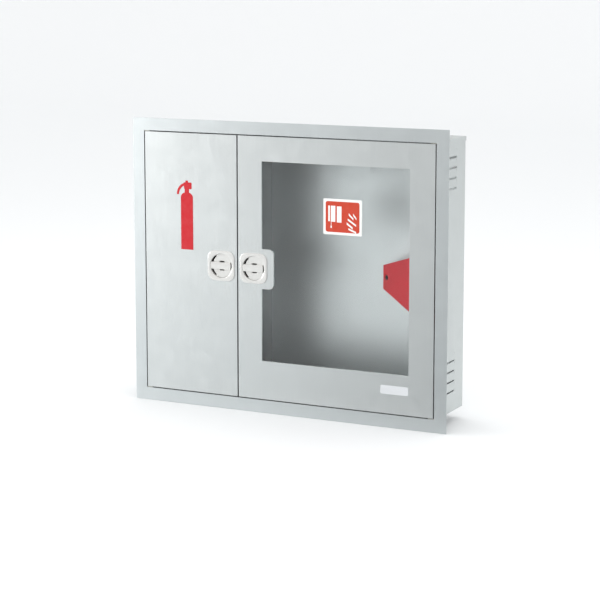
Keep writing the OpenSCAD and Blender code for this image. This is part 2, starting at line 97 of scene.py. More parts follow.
# the plane of the door faces and the corners of the back sheet
FACE_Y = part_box("left_door_pan")[0][1]
BOX_LO, BOX_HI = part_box("back_panel")

# points closer than this are one point, in grids and in CAD solids
SEAM = 2e-6
CAD_SEAM = 5e-6
# edges shorter than this are dropped
SLIVER = 1e-7
# CAD faces that meet flatter than FLAT degrees join, and edges sharper than FOLD are rounded
FLAT = 0.6
FOLD = 30
# where the camera stands, with its turn and its dip in degrees
CAMERA_AT = (2.2795, -4.6946, 0.8252)
CAMERA_YAW, CAMERA_DIP = 26.418, 8.343
# the camera's mirror image in the plane of the doors, as x and y
MIRRORED_AT = (2.28, 4.29)


def colour(name, text, default):
    """A colour setting with its three linear channels."""
    return FloatVectorProperty(
        name=name, description=text, subtype="COLOR", default=default, min=0, max=1
    )


def length(name, text, mm):
    """A length setting, given in millimetres and kept in metres."""
    return FloatProperty(
        name=name, description=text, default=mm * MM, min=0, unit="LENGTH", subtype="DISTANCE"
    )


def factor(name, text, default, high=1.0):
    """A plain number setting from 0 up to high."""
    return FloatProperty(
        name=name, description=text, default=default, min=0, max=high, subtype="FACTOR"
    )


def watts(name, place, default):
    """The power of one of the lights."""
    text = f"Power of the {place} light in watts"
    return FloatProperty(name=name, description=text, default=default, min=0)


# ---- settings


class SheetSettings(bpy.types.PropertyGroup):
    """Colours and folds of the stainless sheets."""

    fold: length("Fold softness", "Radius left on folded and cut sheet edges", 0.45)
    door_tone: colour("Door sheet", "Colour of the door sheet", (0.795, 0.82, 0.813))
    frame_tone: colour("Frame sheet", "Colour of the front frame", (0.76, 0.795, 0.797))
    box_tone: colour("Box sheet", "Colour of the box sheet", (0.72, 0.75, 0.75))
    side_tone: colour("Side sheets", "Colour of the side, top and bottom", (0.62, 0.65, 0.645))
    # the inner sheet is the same stainless, painted about half as bright as the box: painted shade
    # inside the cabinet and in the gap between the doors
    inner_shade_tone: colour("Inner sheets", "Colour of the partition's sheet", (0.36, 0.375, 0.38))
    gloss: factor("Roughness", "Roughness of the satin finish", 0.38)
    grain: factor("Grain", "Strength of the brushed grain", 0.35)
    weld_tone: colour("Spot welds", "Heat-dulled colour of the spot welds", (0.40, 0.38, 0.35))
    weld_r: length("Spot weld radius", "Radius of a spot weld's dimple", 3.8)
    weld_pitch: length("Spot weld pitch", "Distance between spot welds", 75.0)


class LatchSettings(bpy.types.PropertyGroup):
    """Shape and colour of the two quarter-turn latches."""

    tone: colour("Plating", "Colour of the plated castings", (0.82, 0.81, 0.785))
    gloss: factor("Roughness", "Roughness of the plating", 0.24)
    metal: factor("Metallic", "How metallic the pearl plating is", 0.45)
    well: length("Finger well", "Depth of the finger wells beside the grip bar", 9.2)
    crown: length("Grip crown", "How far the grip bar bulges at its middle", 0.7)


class GlazingSettings(bpy.types.PropertyGroup):
    """Glass and what holds it."""

    tint: colour("Glass tint", "Colour seen through the pane", (0.95, 0.968, 0.97))
    bevel: length("Ground edge", "Width of the pane's ground edge", 0.6)
    thread: length("Thread depth", "Depth of the stud threads", 0.22)


class SignSettings(bpy.types.PropertyGroup):
    """Printed films."""

    red: colour("Sign red", "Red of the extinguisher sign", (0.55, 0.012, 0.02))
    reel_red: colour("Reel sign red", "Red of the hose reel sign", (0.56, 0.05, 0.02))
    white: colour("Sign white", "White ground of the hose reel sign", (0.86, 0.86, 0.84))
    badge: colour("Badge", "Colour of the plain badge", (0.66, 0.68, 0.70))


class ArmSettings(bpy.types.PropertyGroup):
    """Powder-coated swing arm."""

    paint: colour("Arm paint", "Colour of the swing arm", (0.86, 0.02, 0.035))
    bead: length("Weld bead", "Radius of the weld bead along the barrel", 2.2)


class StageSettings(bpy.types.PropertyGroup):
    """Floor, light and camera."""

    floor: colour("Floor", "Colour of the floor", (0.95, 0.955, 0.96))
    lens: FloatProperty(
        name="Lens", description="Focal length", default=111.12, min=1, unit="CAMERA"
    )
    key: watts("Key", "left", 46)
    top: watts("Top", "overhead", 25)
    front: watts("Front", "front", 15)
    mirror_side: factor("Mirrored sides", "Brightness that sheets mirror at the sides", 0.85, 2.0)
    mirror_front: factor("Mirrored front", "Brightness that sheets mirror in front", 0.44, 2.0)
    mirror_floor: factor("Mirrored floor", "Brightness of the floor mirrored at the left", 0.58)
    mirror_right: factor("Mirrored right", "Brightness of the floor mirrored at the right", 0.36)
    glass_floor: factor("Floor through glass", "Brightness of the floor seen through glass", 0.78)
    through: factor("Through glass", "Extra brightness of the studio behind glass", 2.0, 3.0)


SETTINGS = {
    "fire_cabinet_sheet": SheetSettings,
    "fire_cabinet_latch": LatchSettings,
    "fire_cabinet_glazing": GlazingSettings,
    "fire_cabinet_sign": SignSettings,
    "fire_cabinet_arm": ArmSettings,
    "fire_cabinet_stage": StageSettings,
}


# shader groups and finishes, filled in by the first operator
GROUPS = {}
MATERIALS = {}


# ---- surfaces


def grid_quads(nu, nv, wrap_u, wrap_v):
    """Corner numbers of the quads of an nu by nv grid, joined round where it wraps."""
    u = np.arange(nu if wrap_u else nu - 1)
    v = np.arange(nv if wrap_v else nv - 1)
    u, v = np.meshgrid(u, v, indexing="ij")
    un, vn = (u + 1) % nu, (v + 1) % nv
    return np.stack([u * nv + v, un * nv + v, un * nv + vn, u * nv + vn], -1).reshape(-1, 4)


def piece(name, shells, body, material, stands_for=(), sharp=40):
    """One object from closed grid shells, each (points, wraps in u, wraps in v).
    Doubles at poles and seams are merged, then every shell is turned outwards."""
    verts, faces, start = [], [], 0
    for points, wrap_u, wrap_v in shells:
        nu, nv = points.shape[:2]
        verts.append(points.reshape(-1, 3))
        faces.append(grid_quads(nu, nv, wrap_u, wrap_v) + start)
        start += nu * nv
    mesh = bpy.data.meshes.new(name)
    mesh.from_pydata(np.concatenate(verts).tolist(), [], np.concatenate(faces).tolist())
    bm = bmesh.new()
    bm.from_mesh(mesh)
    bmesh.ops.remove_doubles(bm, verts=bm.verts, dist=SEAM)
    bmesh.ops.dissolve_degenerate(bm, edges=bm.edges, dist=SLIVER)
    bmesh.ops.recalc_face_normals(bm, faces=bm.faces)
    bm.to_mesh(mesh)
    bm.free()
    finish_piece(mesh, name, body, material, stands_for, sharp)


def finish_piece(mesh, name, body, material, stands_for, sharp):
    """Shades a mesh smooth up to the sharp angle, links it and ties it to its CAD body."""
    mesh.shade_smooth()
    mesh.set_sharp_from_angle(angle=math.radians(sharp))
    ob = bpy.data.objects.new(name, mesh)
    bpy.context.scene.collection.objects.link(ob)
    mesh.materials.append(material)
    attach(ob, body)
    if stands_for:
        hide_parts(*stands_for)
    return ob


def body_of(node):
    """The CAD body that a node rides on."""
    return frame["nodes"][node]["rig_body"]


def stand_in(name, node, shells, finish, sharp=40):
    """A piece of closed shells that stands for a CAD node, on its body and in its slot."""
    piece(name, shells, body_of(node), MATERIALS[finish], (node,), sharp)


def middle(node):
    """The middle of a node's box."""
    lo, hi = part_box(node)
    return [(a + b) / 2 for a, b in zip(lo, hi)]


def softened(node, finish, radius, segments=2):
    """A copy of a CAD node's solid with its doubles merged and flat faces joined,
    and a bevel of that radius on every fold and cut edge."""
    src = frame["nodes"][node].data
    co = np.empty(len(src.vertices) * 3)
    src.vertices.foreach_get("co", co)
    src.calc_loop_triangles()
    tri = np.empty(len(src.loop_triangles) * 3, np.int32)
    src.loop_triangles.foreach_get("vertices", tri)
    name = node + "_soft"
    mesh = bpy.data.meshes.new(name)
    mesh.from_pydata(co.reshape(-1, 3).tolist(), [], tri.reshape(-1, 3).tolist())
    bm = bmesh.new()
    bm.from_mesh(mesh)
    bmesh.ops.remove_doubles(bm, verts=bm.verts, dist=CAD_SEAM)
    flat = math.radians(FLAT)
    bmesh.ops.dissolve_limit(bm, angle_limit=flat, verts=bm.verts, edges=bm.edges)
    bm.to_mesh(mesh)
    bm.free()
    ob = finish_piece(mesh, name, body_of(node), MATERIALS[finish], (node,), 40)
    bevel = ob.modifiers.new("Folds", "BEVEL")
    bevel.width = radius
    bevel.segments = segments
    bevel.limit_method = "ANGLE"
    bevel.angle_limit = math.radians(FOLD)
    bevel.harden_normals = True


def outline(a, b, r, n):
    """A rounded rectangle of half sizes a and b: four quarter circles of radius r,
    n points each, about the corners' centres. With a = b = r it is a circle."""
    turn = np.arange(4)[:, None] * TAU / 4 + np.linspace(0, TAU / 4, n)
    cx = (a - r) * np.array([1, -1, -1, 1])[:, None]
    cz = (b - r) * np.array([1, 1, -1, -1])[:, None]
    return np.stack([cx + r * np.cos(turn), cz + r * np.sin(turn)], -1).reshape(-1, 2)


def loft_y(rows, centre, n):
    """Rounded rectangles (half x, half z, corner radius, y) stacked along Y about centre."""
    rings = [outline(a, b, r, n) for a, b, r, _ in rows]
    points = np.zeros((len(rows), 4 * n, 3))
    for k, (ring, row) in enumerate(zip(rings, rows)):
        points[k, :, 0] = centre[0] + ring[:, 0]
        points[k, :, 1] = centre[1] + row[3]
        points[k, :, 2] = centre[2] + ring[:, 1]
    return points


def around(centre, axis, radius, angle, height):
    """Points at each radius and angle round an axis through centre, with their height
    along that axis."""
    side = [k for k in range(3) if k != axis]
    radius, angle, height = np.broadcast_arrays(radius, angle, height)
    points = np.zeros((*radius.shape, 3))
    points[..., side[0]] = centre[side[0]] + radius * np.cos(angle)
    points[..., side[1]] = centre[side[1]] + radius * np.sin(angle)
    points[..., axis] = height
    return points


def turned(profile, centre, axis, n):
    """A profile of (radius, height) pairs carried round an axis through centre."""
    profile = np.asarray(profile, float)
    angle = np.arange(n) * TAU / n
    return around(centre, axis, profile[:, :1], angle, centre[axis] + profile[:, 1:])


# ---- material nodes


def add(tree, kind, values=None, **settings):
    """One shader node with its settings; values are numbers, colours or sockets to link."""
    n = tree.nodes.new(kind)
    for key, value in settings.items():
        setattr(n, key, value)
    for key, value in (values or {}).items():
        if isinstance(value, bpy.types.NodeSocket):
            tree.links.new(value, n.inputs[key])
        else:
            n.inputs[key].default_value = value
    return n


def noise(tree, where, scale, detail, **more):
    """The value of a noise texture."""
    values = {"Vector": where, "Scale": scale, "Detail": detail, **more}
    return add(tree, "ShaderNodeTexNoise", values).outputs["Fac"]


def ramp(tree, value, low, high, start=0.0, end=1.0, smooth=False):
    """start up to low and end from high, with a straight or a smooth way between."""
    values = {"Value": value, "From Min": low, "From Max": high, "To Min": start, "To Max": end}
    kind = "SMOOTHSTEP" if smooth else "LINEAR"
    return add(tree, "ShaderNodeMapRange", values, interpolation_type=kind).outputs[0]


def calc(tree, operation, *values):
    """One step of arithmetic on numbers and sockets."""
    return add(tree, "ShaderNodeMath", dict(enumerate(values)), operation=operation).outputs[0]


def group(name, sockets_in, sockets_out, build):
    """A shader node group with named sockets, built once."""
    tree = bpy.data.node_groups.new(name, "ShaderNodeTree")
    for way, sockets in (("INPUT", sockets_in), ("OUTPUT", sockets_out)):
        for label, kind in sockets.items():
            tree.interface.new_socket(name=label, in_out=way, socket_type=kind)
    inside, outside = add(tree, "NodeGroupInput"), add(tree, "NodeGroupOutput")
    build(tree, inside.outputs, outside.inputs)
    return tree


FLOAT, VECTOR, COLOR = "NodeSocketFloat", "NodeSocketVector", "NodeSocketColor"


def build_brushed(tree, given, out):
    """Grain: noise stretched 90 times along Z. Clouds: slow noise. Rub: a middle noise
    that dulls the gloss in patches."""
    link, at = tree.links.new, given["Vector"]
    stretch = add(tree, "ShaderNodeMapping", {"Vector": at, "Scale": (1, 1, 0.011)})
    fine = noise(tree, stretch.outputs[0], 900.0, 4.0, Roughness=0.65)
    slow = noise(tree, at, 3.2, 3.0, Roughness=0.55)
    rub = noise(tree, at, 21.0, 5.0, Roughness=0.6, Distortion=0.6)
    grain = ramp(tree, fine, 0.3, 0.7, -1.0, 1.0)
    cloud = ramp(tree, slow, 0.3, 0.7, -1.0, 1.0)
    worn = ramp(tree, rub, 0.45, 0.75)
    a = calc(tree, "MULTIPLY", grain, given["Grain"])
    b = calc(tree, "MULTIPLY", cloud, 0.012)
    c = calc(tree, "MULTIPLY", a, 0.05)
    both = calc(tree, "ADD", b, c)
    gain = calc(tree, "ADD", both, 1.0)
    tone = add(tree, "ShaderNodeVectorMath", {0: given["Tone"], "Scale": gain}, operation="SCALE")
    link(tone.outputs[0], out["Color"])
    r1 = calc(tree, "MULTIPLY_ADD", a, 0.16, given["Roughness"])
    r2 = calc(tree, "MULTIPLY_ADD", worn, 0.07, r1)
    link(r2, out["Roughness"])
    link(a, out["Height"])


def build_marks(tree, given, out):
    """Handling marks: a soft ball round Centre, broken by smeared noise."""
    away = add(tree, "ShaderNodeVectorMath", {0: given["Vector"], 1: given["Centre"]},
               operation="DISTANCE")
    near = ramp(tree, away.outputs["Value"], given["Reach"], 0.02, smooth=True)
    smear = add(tree, "ShaderNodeMapping", {"Vector": given["Vector"], "Rotation": (0, 0.5, 0),
                "Scale": (1.0, 1.0, 0.35)})
    prints = noise(tree, smear.outputs[0], 60.0, 6.0, Roughness=0.7, Distortion=1.2)
    patch = ramp(tree, prints, 0.48, 0.62)
    mask = calc(tree, "MULTIPLY", near, patch)
    tree.links.new(mask, out["Mask"])


def build_dust(tree, given, out):
    """Dust: faces that look up, thickened by slow noise and broken by fine noise."""
    normal = add(tree, "ShaderNodeSeparateXYZ",
                 {0: add(tree, "ShaderNodeNewGeometry").outputs["Normal"]})
    up = ramp(tree, normal.outputs["Z"], 0.35, 1.0, smooth=True)
    slow = noise(tree, given["Vector"], 14.0, 6.0)
    broken = ramp(tree, slow, 0.35, 0.7, 0.25, 1.0)
    mask = calc(tree, "MULTIPLY", up, broken)
    mask = calc(tree, "MULTIPLY", mask, given["Amount"])
    tree.links.new(mask, out["Mask"])


def build_peel(tree, given, out):
    """Orange peel: two sizes of rounded noise, one on the other, and specks."""
    at, scale = given["Vector"], given["Scale"]
    big = noise(tree, at, scale, 2.0)
    small = add(tree, "ShaderNodeTexVoronoi", {"Vector": at, "Scale": scale},
                feature="SMOOTH_F1")
    height = calc(tree, "ADD", big, small.outputs["Distance"])
    tree.links.new(height, out["Height"])
    speck = noise(tree, at, 130.0, 3.0)
    specks = ramp(tree, speck, 0.62, 0.72)
    tree.links.new(specks, out["Specks"])


def make_groups():
    """The shader groups that the materials share."""
    coordinates, mask = {"Vector": VECTOR}, {"Mask": FLOAT}
    GROUPS["brushed"] = group(
        "Brushed sheet", {**coordinates, "Tone": COLOR, "Grain": FLOAT, "Roughness": FLOAT},
        {"Color": COLOR, "Roughness": FLOAT, "Height": FLOAT}, build_brushed)
    GROUPS["marks"] = group(
        "Handling marks", {**coordinates, "Centre": VECTOR, "Reach": FLOAT}, mask, build_marks)
    GROUPS["dust"] = group("Settled dust", {**coordinates, "Amount": FLOAT}, mask, build_dust)
    GROUPS["peel"] = group("Coat texture", {**coordinates, "Scale": FLOAT},
                           {"Height": FLOAT, "Specks": FLOAT}, build_peel)


def placed(tree, key, values):
    """One of the shared groups in a material."""
    return add(tree, "ShaderNodeGroup", values, node_tree=GROUPS[key]).outputs


def new_material(name, **constants):
    """A material with a Principled BSDF whose constant sockets are set, and its coordinates."""
    mat = bpy.data.materials.new(name)
    mat.use_nodes = True
    tree = mat.node_tree
    shader = tree.nodes["Principled BSDF"]
    for key, value in constants.items():
        shader.inputs[key.replace("_", " ")].default_value = value
    where = add(tree, "ShaderNodeTexCoord").outputs["Object"]
    return mat, tree, shader, where


def mix(tree, mask, a, b):
    """Colour a where mask is 0 and b where it is 1."""
    return add(tree, "ShaderNodeMix", {0: mask, 6: a, 7: b}, data_type="RGBA").outputs[2]


def feed(tree, shader, base, rough):
    """Links a colour and a roughness to their sockets on the shader."""
    tree.links.new(base, shader.inputs["Base Color"])
    tree.links.new(rough, shader.inputs["Roughness"])


def bump(tree, shader, height, strength, distance):
    """A Bump node from a height to the shader's normal."""
    n = add(tree, "ShaderNodeBump", {"Height": height, "Strength": strength, "Distance": distance})
    tree.links.new(n.outputs[0], shader.inputs["Normal"])


def rgba(value):
    """A three-channel colour with full alpha."""
    return (*value, 1.0)


def sheet_steel(name, tone, gloss, grain, marks=()):
    """Satin stainless sheet: vertical grain, cloudy tone, rubbed patches, dust on ledges,
    and handling marks round each given point."""
    mat, tree, shader, where = new_material(name, Metallic=1.0)
    brushed = placed(tree, "brushed", {"Vector": where, "Tone": rgba(tone), "Grain": grain,
                                       "Roughness": gloss})
    tone_now, rough = brushed["Color"], brushed["Roughness"]
    for centre, reach in marks:
        mask = placed(tree, "marks", {"Vector": where, "Centre": centre, "Reach": reach})["Mask"]
        rough = calc(tree, "MULTIPLY_ADD", mask, 0.10, rough)
        shade = calc(tree, "MULTIPLY", mask, 0.10)
        tone_now = mix(tree, shade, tone_now, (0.45, 0.44, 0.42, 1))
    fallen = placed(tree, "dust", {"Vector": where, "Amount": 0.35})["Mask"]
    tone_now = mix(tree, fallen, tone_now, (0.42, 0.41, 0.39, 1))
    rough = calc(tree, "MULTIPLY_ADD", fallen, 0.3, rough)
    feed(tree, shader, tone_now, rough)
    bump(tree, shader, brushed["Height"], 0.12, 0.00006)
    return mat


def plated(name, tone, gloss, ripple, metal=1.0, deep=None):
    """Bright plating on a casting: faint flow ripples and patches of duller plate. Between
    the two depths of deep, along Y, the plate passes into near black and rougher: painted shade in
    deep hollows."""
    mat, tree, shader, where = new_material(name, Metallic=metal)
    flow = noise(tree, where, 90.0, 3.0)
    dull = noise(tree, where, 260.0, 6.0, Roughness=0.7)
    rough = ramp(tree, dull, 0.35, 0.75, gloss * 0.92, gloss * 1.15)
    shade = ramp(tree, flow, 0.3, 0.7)
    dark = tuple(0.93 * v for v in tone)
    base = mix(tree, shade, rgba(dark), rgba(tone))
    # painted shade: surfaces lying deeper along Y than deep[0] darken to near black by deep[1]
    if deep:
        depth = add(tree, "ShaderNodeSeparateXYZ", {0: where}).outputs["Y"]
        mask = ramp(tree, depth, deep[0], deep[1], smooth=True)
        base = mix(tree, mask, base, (0.035, 0.032, 0.03, 1))
        rough = calc(tree, "MULTIPLY_ADD", mask, 0.4, rough)
    feed(tree, shader, base, rough)
    bump(tree, shader, flow, ripple, 0.0002)
    return mat


def zinc(name):
    """Zinc-plated steel: a faint straw to blue drift, fine pits and dull patches."""
    tone = (0.60, 0.60, 0.56)
    mat, tree, shader, where = new_material(name, Metallic=1.0)
    drift = noise(tree, where, 45.0, 4.0)
    pits = noise(tree, where, 900.0, 3.0)
    straw = tuple(v * k for v, k in zip(tone, (1.05, 1.0, 0.86)))
    base = mix(tree, drift, rgba(straw), rgba(tone[::-1]))
    rough = ramp(tree, drift, 0, 1, 0.28, 0.5)
    feed(tree, shader, base, rough)
    bump(tree, shader, pits, 0.3, 0.00008)
    return mat


def moulded(name, tone, gloss, scale, height=0.00008):
    """Rubber or plastic: a fine moulded grain and a faint pale bloom."""
    mat, tree, shader, where = new_material(name)
    peel = placed(tree, "peel", {"Vector": where, "Scale": scale})
    slow = noise(tree, where, 30.0, 5.0)
    pale = ramp(tree, slow, 0.4, 0.8, 0.0, 0.12)
    base = mix(tree, pale, rgba(tone), (0.30, 0.30, 0.30, 1))
    rough = ramp(tree, slow, 0, 1, gloss * 0.85, min(1.0, gloss * 1.15))
    feed(tree, shader, base, rough)
    bump(tree, shader, peel["Height"], 0.35, height)
    return mat


def film(name, tone, gloss=0.32):
    """Printed film: slight ink mottle, an even gloss with soft scuffs."""
    mat, tree, shader, where = new_material(name, Specular_IOR_Level=0.3)
    ink = noise(tree, where, 55.0, 6.0, Roughness=0.6)
    amount = ramp(tree, ink, 0.3, 0.75, 0.0, 0.16)
    pale = tuple(0.85 * v + 0.15 for v in tone)
    base = mix(tree, amount, rgba(tone), rgba(pale))
    scuff = noise(tree, where, 220.0, 4.0)
    rough = ramp(tree, scuff, 0, 1, gloss * 0.7, gloss * 1.4)
    feed(tree, shader, base, rough)
    bump(tree, shader, scuff, 0.1, 0.00003)
    return mat


def powder_coat(name, tone):
    """Powder coat on steel: orange peel, small pale chips and dust on ledges."""
    mat, tree, shader, where = new_material(name, Coat_Weight=0.05, Coat_Roughness=0.25,
                                            Specular_IOR_Level=0.3)
    peel = placed(tree, "peel", {"Vector": where, "Scale": 520.0})
    slow = noise(tree, where, 12.0, 4.0)
    deep = tuple(0.82 * v for v in tone)
    base = mix(tree, slow, rgba(deep), rgba(tone))
    chips = calc(tree, "MULTIPLY", peel["Specks"], 0.35)
    base = mix(tree, chips, base, rgba(tuple(0.6 * v + 0.12 for v in tone)))
    fallen = placed(tree, "dust", {"Vector": where, "Amount": 0.4})["Mask"]
    base = mix(tree, fallen, base, (0.45, 0.43, 0.41, 1))
    rough = ramp(tree, slow, 0, 1, 0.36, 0.52)
    feed(tree, shader, base, rough)
    bump(tree, shader, peel["Height"], 0.3, 0.00012)
    return mat


def window_glass(name, tint):
    """Clear float glass with a faint haze of dust in its roughness."""
    mat, tree, shader, where = new_material(name, Transmission_Weight=1.0, IOR=1.45)
    haze = noise(tree, where, 7.0, 5.0)
    rough = ramp(tree, haze, 0.4, 0.8, 0.0, 0.02)
    clear = rgba(tuple(min(1.0, 1.02 * v) for v in tint))
    feed(tree, shader, mix(tree, haze, rgba(tint), clear), rough)
    return mat


def latch_centre(side):
    """The axis of a latch at the door's face, from its bezel's box."""
    x, _, z = middle(side + "_latch_bezel")
    return x, FACE_Y, z


def make_materials(scene):
    """Every finish on the cabinet."""
    sheet, latch = scene.fire_cabinet_sheet, scene.fire_cabinet_latch
    sign = scene.fire_cabinet_sign
    touched = [(latch_centre(side), 0.16) for side in ("left", "right")]
    MATERIALS.update(
        door=sheet_steel("Door sheet", sheet.door_tone, sheet.gloss, sheet.grain, touched),
        frame=sheet_steel("Frame sheet", sheet.frame_tone, sheet.gloss, sheet.grain),
        box=sheet_steel("Box sheet", sheet.box_tone, sheet.gloss + 0.06, sheet.grain * 0.8),
        side=sheet_steel("Side sheet", sheet.side_tone, sheet.gloss + 0.04, sheet.grain),
        weld=plated("Spot weld", sheet.weld_tone, 0.45, 0.6),
        # inner: the same stainless painted darker, as painted shade
        inner=sheet_steel("Inner sheet", sheet.inner_shade_tone, sheet.gloss + 0.14, sheet.grain * 0.6),
        # the latch castings are painted near black from 2.4 to 6.5 mm behind the door face:
        # painted shade in the finger wells
        plate=plated("Latch plating", latch.tone, latch.gloss, 0.06, latch.metal,
                     (FACE_Y + 2.4 * MM, FACE_Y + 6.5 * MM)),
        zinc=zinc("Zinc plate"),
        pin=plated("Turned steel", (0.62, 0.63, 0.64), 0.25, 0.1),
        rubber=moulded("Rubber", (0.018, 0.018, 0.019), 0.72, 700.0),
        foam=moulded("Sealing foam", (0.022, 0.022, 0.023), 0.95, 380.0, 0.0003),
        nylon=moulded("Bush nylon", (0.035, 0.036, 0.04), 0.42, 900.0, 0.00004),
        glass=window_glass("Float glass", scene.fire_cabinet_glazing.tint),
        red=film("Sign red film", sign.red),
        reel_red=film("Reel sign red film", sign.reel_red),
        white=film("Sign white film", sign.white, 0.4),
        badge=film("Badge film", sign.badge, 0.35),
        # the axle boss is near black: painted shade seen through the swing arm's hole
        boss=plated("Bare boss steel", (0.10, 0.09, 0.085), 0.5, 0.4),
        coat=powder_coat("Red powder coat", scene.fire_cabinet_arm.paint),
    )


# ---- operators


class MaterialsOperator(bpy.types.Operator):
    """Make the shader groups and every finish."""

    bl_idname = "fire_cabinet.materials"
    bl_label = "Finishes"

    def execute(self, context):
        make_groups()
        make_materials(context.scene)
        return {"FINISHED"}


def spot_weld(x, y, z, radius, facing):
    """A spot weld's dimple: a ring 0.22 mm high round a dish 0.03 mm high, carried round
    its middle. facing is the axis and sign that it looks along."""
    r = radius * np.array([1.0, 1.0, 0.94, 0.82, 0.6, 0.3, 0.0])
    h = np.array([-0.1, 0.0, 0.16, 0.22, 0.10, 0.04, 0.03]) * MM
    profile = np.concatenate([[[0.0, -0.1 * MM]], np.stack([r, h], 1)])
    axis, sign = facing
    profile[:, 1] *= sign
    return turned(profile, (x, y, z), axis, 20), False, True


class SheetsOperator(bpy.types.Operator):
    """Box, partition, mullion and front frame in folded sheet, with their spot welds."""

    bl_idname = "fire_cabinet.sheets"
    bl_label = "Box and frame sheets"

    def execute(self, context):
        opts = context.scene.fire_cabinet_sheet
        # the partition, mullion and frame collar take the inner finish, whose darker tone is
        # painted shade
        finishes = {"back_panel": "box", "left_wall": "side", "right_wall": "side",
                    "top_panel": "side", "bottom_panel": "side", "partition": "inner",
                    "front_flange": "frame", "mullion": "inner", "frame_collar": "inner"}
        for node, key in finishes.items():
            softened(node, key, opts.fold)
        self.weld(opts)
        return {"FINISHED"}

    def weld(self, opts):
        """Rows of spot welds: along the rear and side edges of the top and bottom panels,
        and on the back panel over the partition's folded edge."""
        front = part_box("top_panel")[0][1]
        inset = 12 * MM
        xs = np.arange(BOX_LO[0] + 40 * MM, BOX_HI[0] - 30 * MM, opts.weld_pitch)
        ys = np.arange(front + 60 * MM, -20 * MM, opts.weld_pitch * 0.8)
        for name, z, up in (("top", BOX_HI[2], 1), ("bottom", BOX_LO[2], -1)):
            shells = [spot_weld(x, -inset, z, opts.weld_r, (2, up)) for x in xs]
            for side in (-1, 1):
                edge = side * (BOX_HI[0] - inset)
                shells += [spot_weld(edge, y, z, opts.weld_r, (2, up)) for y in ys]
            piece(name + "_spot_welds", shells, "cabinet", MATERIALS["weld"])
        zs = np.arange(BOX_LO[2] + 45 * MM, BOX_HI[2] - 30 * MM, opts.weld_pitch)
        x = middle("partition")[0] - 2 * MM
        # kept a hair inside the back plane, so the part's box doesn't grow
        shells = [spot_weld(x, -0.22 * MM, z, opts.weld_r, (1, 1)) for z in zs]
        piece("back_spot_welds", shells, "cabinet", MATERIALS["weld"])


class DoorsOperator(bpy.types.Operator):
    """Both folded door pans with their stiffening channels."""

    bl_idname = "fire_cabinet.doors"
    bl_label = "Doors"

    def execute(self, context):
        fold = context.scene.fire_cabinet_sheet.fold
        for side in ("left", "right"):
            softened(side + "_door_pan", "door", fold)
            softened(side + "_door_stiffener", "box", fold)
        return {"FINISHED"}


class HingesOperator(bpy.types.Operator):
    """Hinge lugs, bushes and domed pins."""

    bl_idname = "fire_cabinet.hinges"
    bl_label = "Hinges"

    def execute(self, context):
        for side in ("left", "right"):
            softened(side + "_hinge_lugs", "zinc", 0.2 * MM)
            softened(side + "_hinge_bushes", "nylon", 0.5 * MM, 3)
            node = side + "_hinge_pins"
            lo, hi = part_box(node)
            r = (hi[0] - lo[0]) / 2
            axis = (*middle(node)[:2], 0.0)
            shells = []
            for end in (-1, 1):
                far = end * hi[2]
                reach = end * 16.5 * MM
                # from the flat end, along the shank, over a quarter-round nose
                nose = np.linspace(0, TAU / 4, 7)
                rr = np.concatenate([[0, r - 0.3 * MM, r], r - 0.9 * MM * (1 - np.cos(nose)), [0]])
                hh = np.concatenate([[0, 0, -end * 0.3 * MM],
                                     -reach + end * 0.9 * MM * (1 - np.sin(nose)), [-reach]])
                shells.append((turned(np.stack([rr, far + hh], 1), axis, 2, 28), False, True))
            stand_in(node + "_turned", node, shells, "pin")
        return {"FINISHED"}


def drawn_in(row):
    """A ring whose points all lie at the middle of the given one."""
    return np.broadcast_to(row.mean(0), row.shape)[None]


class SealsOperator(bpy.types.Operator):
    """Foam strips with a domed section along the mullion, and the pipe grommet."""

    bl_idname = "fire_cabinet.seals"
    bl_label = "Seals and grommet"

    def execute(self, context):
        node = "door_seals"
        lo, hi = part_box(node)
        width = 10 * MM
        depth = hi[1] - lo[1]
        # section: flat at the back, with a front that rises with the root of a cosine
        s = np.linspace(-1, 1, 13)
        dome = np.stack([s * width / 2, hi[1] - depth * np.cos(s * TAU / 4) ** 0.5 * 0.98], 1)
        z = np.linspace(lo[2], hi[2], 160)
        wave = 1 + 0.03 * np.sin(z * 61.0) * np.sin(z * 23.0)
        shells = []
        for x in (lo[0] + width / 2, hi[0] - width / 2):
            across = x + dome[:, 0] * wave[:, None]
            body = np.stack(np.broadcast_arrays(across, dome[:, 1], z[:, None]), -1)
            ends = drawn_in(body[0]), drawn_in(body[-1])
            shells.append((np.concatenate([ends[0], body, ends[1]]), False, True))
        stand_in("door_seal_strips", node, shells, "foam")

        node = "pipe_grommet"
        lo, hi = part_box(node)
        out = (hi[0] - lo[0]) / 2
        bore, neck, lip = out - 8 * MM, out - 4 * MM, 3 * MM
        tall = hi[2] - lo[2]
        turn = np.linspace(-TAU / 4, TAU / 4, 9)
        half = lip / 2
        low = np.stack([out - half + half * np.cos(turn), half + half * np.sin(turn)], 1)
        high = low + [0, tall - lip]
        inner = np.array([[neck, lip], [neck, tall - lip]])
        wall = np.array([[bore + 0.6 * MM, tall], [bore, tall - 0.8 * MM], [bore, 0.8 * MM],
                         [bore + 0.6 * MM, 0]])
        profile = np.concatenate([low, inner, high, wall])
        foot = (*middle(node)[:2], lo[2])
        ring = turned(profile, foot, 2, 64), True, True
        stand_in("pipe_grommet_moulded", node, [ring], "rubber")
        return {"FINISHED"}


